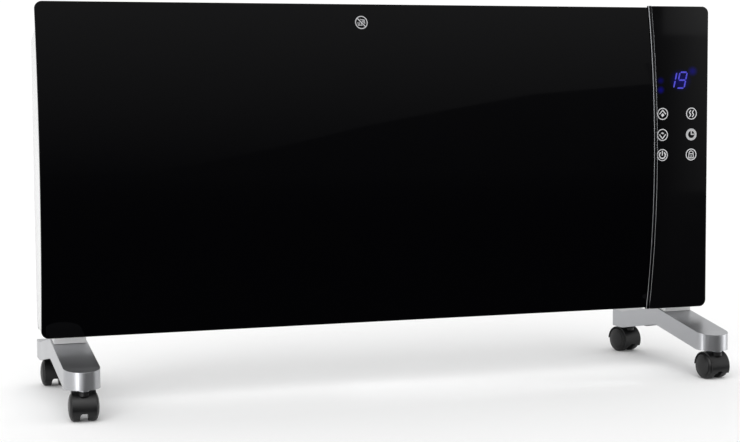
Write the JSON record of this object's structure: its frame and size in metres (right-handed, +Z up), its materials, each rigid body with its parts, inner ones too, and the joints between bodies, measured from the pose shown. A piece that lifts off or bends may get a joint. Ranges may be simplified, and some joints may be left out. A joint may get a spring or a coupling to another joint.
{
  "type": "panel convector heater",
  "caption": "Electric panel convector heater: bowed black glass front, flat touch control glass, white sheet casing, arched silver feet on twin-wheel castors.",
  "frame": {"origin": "middle of the base: centre of the heater's footprint, on the floor", "axes": "+Z up, -Y the glass front, +X to the right as seen from the front"},
  "size_m": [0.828, 0.27, 0.454],
  "materials": {
    "black_glass": "back-painted black tempered glass, polished",
    "dark_trim": "gloss dark moulding",
    "white_paint": "fine-textured white powder coat",
    "black_plastic": "fine-textured moulded black",
    "castor_black": "satin moulded nylon",
    "silver_feet": "satin silver paint",
    "aluminium": "mill finish",
    "steel": "zinc-plated",
    "ceramic": "unglazed",
    "board_green": "solder mask",
    "pale_plastic": "moulded"
  },
  "bodies": {
    "root": {"rear_casing": "white_paint", "outlet_grille": "black_plastic", "inlet_grille": "black_plastic", "front_frame": "black_plastic", "foot_left": "silver_feet", "foot_right": "silver_feet", "power_board": "board_green", "cord_gland": "black_plastic", "castor_front_left_stem": "steel", "castor_rear_left_stem": "steel", "castor_front_right_stem": "steel", "castor_rear_right_stem": "steel", "main_glass": "black_glass", "switch_body": "black_plastic", "heating_bar_lower": "aluminium", "heating_bar_upper": "aluminium", "element_bracket_left": "steel", "element_bracket_right": "steel", "ceramic_bush_lower_left": "ceramic", "ceramic_bush_upper_left": "ceramic", "ceramic_bush_lower_right": "ceramic", "ceramic_bush_upper_right": "ceramic", "terminal_block": "pale_plastic", "foot_pad_left": "white_paint", "foot_pad_right": "white_paint", "thermal_cut_out": "steel", "control_glass": "black_glass", "room_sensor": "black_plastic", "divider_trim": "dark_trim", "casing_screw_lower_left": "steel", "casing_screw_upper_left": "steel", "casing_screw_lower_right": "steel", "casing_screw_upper_right": "steel", "foot_screw_front_left": "steel", "foot_screw_rear_left": "steel", "foot_screw_front_right": "steel", "foot_screw_rear_right": "steel", "tip_switch": "pale_plastic", "heating_rod_lower": "steel", "heating_rod_upper": "steel", "touch_board": "board_green", "heat_shield": "aluminium", "display_module": "black_plastic"},
    "castor_front_left": {"castor_front_left_hood": "castor_black", "castor_front_left_axle": "steel"},
    "castor_rear_left": {"castor_rear_left_hood": "castor_black", "castor_rear_left_axle": "steel"},
    "castor_front_right": {"castor_front_right_hood": "castor_black", "castor_front_right_axle": "steel"},
    "castor_rear_right": {"castor_rear_right_hood": "castor_black", "castor_rear_right_axle": "steel"},
    "castor_front_left_wheel_left": {"castor_front_left_wheel_left": "castor_black"},
    "castor_front_left_wheel_right": {"castor_front_left_wheel_right": "castor_black"},
    "castor_rear_left_wheel_left": {"castor_rear_left_wheel_left": "castor_black"},
    "castor_rear_left_wheel_right": {"castor_rear_left_wheel_right": "castor_black"},
    "castor_front_right_wheel_left": {"castor_front_right_wheel_left": "castor_black"},
    "castor_front_right_wheel_right": {"castor_front_right_wheel_right": "castor_black"},
    "castor_rear_right_wheel_left": {"castor_rear_right_wheel_left": "castor_black"},
    "castor_rear_right_wheel_right": {"castor_rear_right_wheel_right": "castor_black"},
    "rocker": {"switch_rocker": "black_plastic"}
  },
  "joints": [
    {"name": "castor_front_left_swivel", "type": "hinge", "parent": "root", "child": "castor_front_left", "pos_m": [-0.38, -0.12425, 0.034], "axis": [0, 0, 1], "continuous": true},
    {"name": "castor_front_left_roll_left", "type": "hinge", "parent": "castor_front_left", "child": "castor_front_left_wheel_left", "pos_m": [-0.37922, -0.11529, 0.0155], "axis": [0.9962, -0.0872, 0], "continuous": true},
    {"name": "castor_front_left_roll_right", "type": "hinge", "parent": "castor_front_left", "child": "castor_front_left_wheel_right", "pos_m": [-0.37922, -0.11529, 0.0155], "axis": [0.9962, -0.0872, 0], "continuous": true},
    {"name": "castor_rear_left_swivel", "type": "hinge", "parent": "root", "child": "castor_rear_left", "pos_m": [-0.38, 0.10575, 0.034], "axis": [0, 0, 1], "continuous": true},
    {"name": "castor_rear_left_roll_left", "type": "hinge", "parent": "castor_rear_left", "child": "castor_rear_left_wheel_left", "pos_m": [-0.37969, 0.11474, 0.0155], "axis": [0.9994, -0.0349, 0], "continuous": true},
    {"name": "castor_rear_left_roll_right", "type": "hinge", "parent": "castor_rear_left", "child": "castor_rear_left_wheel_right", "pos_m": [-0.37969, 0.11474, 0.0155], "axis": [0.9994, -0.0349, 0], "continuous": true},
    {"name": "castor_front_right_swivel", "type": "hinge", "parent": "root", "child": "castor_front_right", "pos_m": [0.386, -0.12425, 0.034], "axis": [0, 0, 1], "continuous": true},
    {"name": "castor_front_right_roll_left", "type": "hinge", "parent": "castor_front_right", "child": "castor_front_right_wheel_left", "pos_m": [0.38459, -0.11536, 0.0155], "axis": [0.9877, 0.1564, 0], "continuous": true},
    {"name": "castor_front_right_roll_right", "type": "hinge", "parent": "castor_front_right", "child": "castor_front_right_wheel_right", "pos_m": [0.38459, -0.11536, 0.0155], "axis": [0.9877, 0.1564, 0], "continuous": true},
    {"name": "castor_rear_right_swivel", "type": "hinge", "parent": "root", "child": "castor_rear_right", "pos_m": [0.386, 0.10575, 0.034], "axis": [0, 0, 1], "continuous": true},
    {"name": "castor_rear_right_roll_left", "type": "hinge", "parent": "castor_rear_right", "child": "castor_rear_right_wheel_left", "pos_m": [0.38367, 0.11444, 0.0155], "axis": [0.9659, 0.2588, 0], "continuous": true},
    {"name": "castor_rear_right_roll_right", "type": "hinge", "parent": "castor_rear_right", "child": "castor_rear_right_wheel_right", "pos_m": [0.38367, 0.11444, 0.0155], "axis": [0.9659, 0.2588, 0], "continuous": true},
    {"name": "mains_rocker", "type": "hinge", "parent": "root", "child": "rocker", "pos_m": [0.373, 0.00625, 0.14], "axis": [1, 0, 0], "range_deg": [0, 18]}
  ]
}
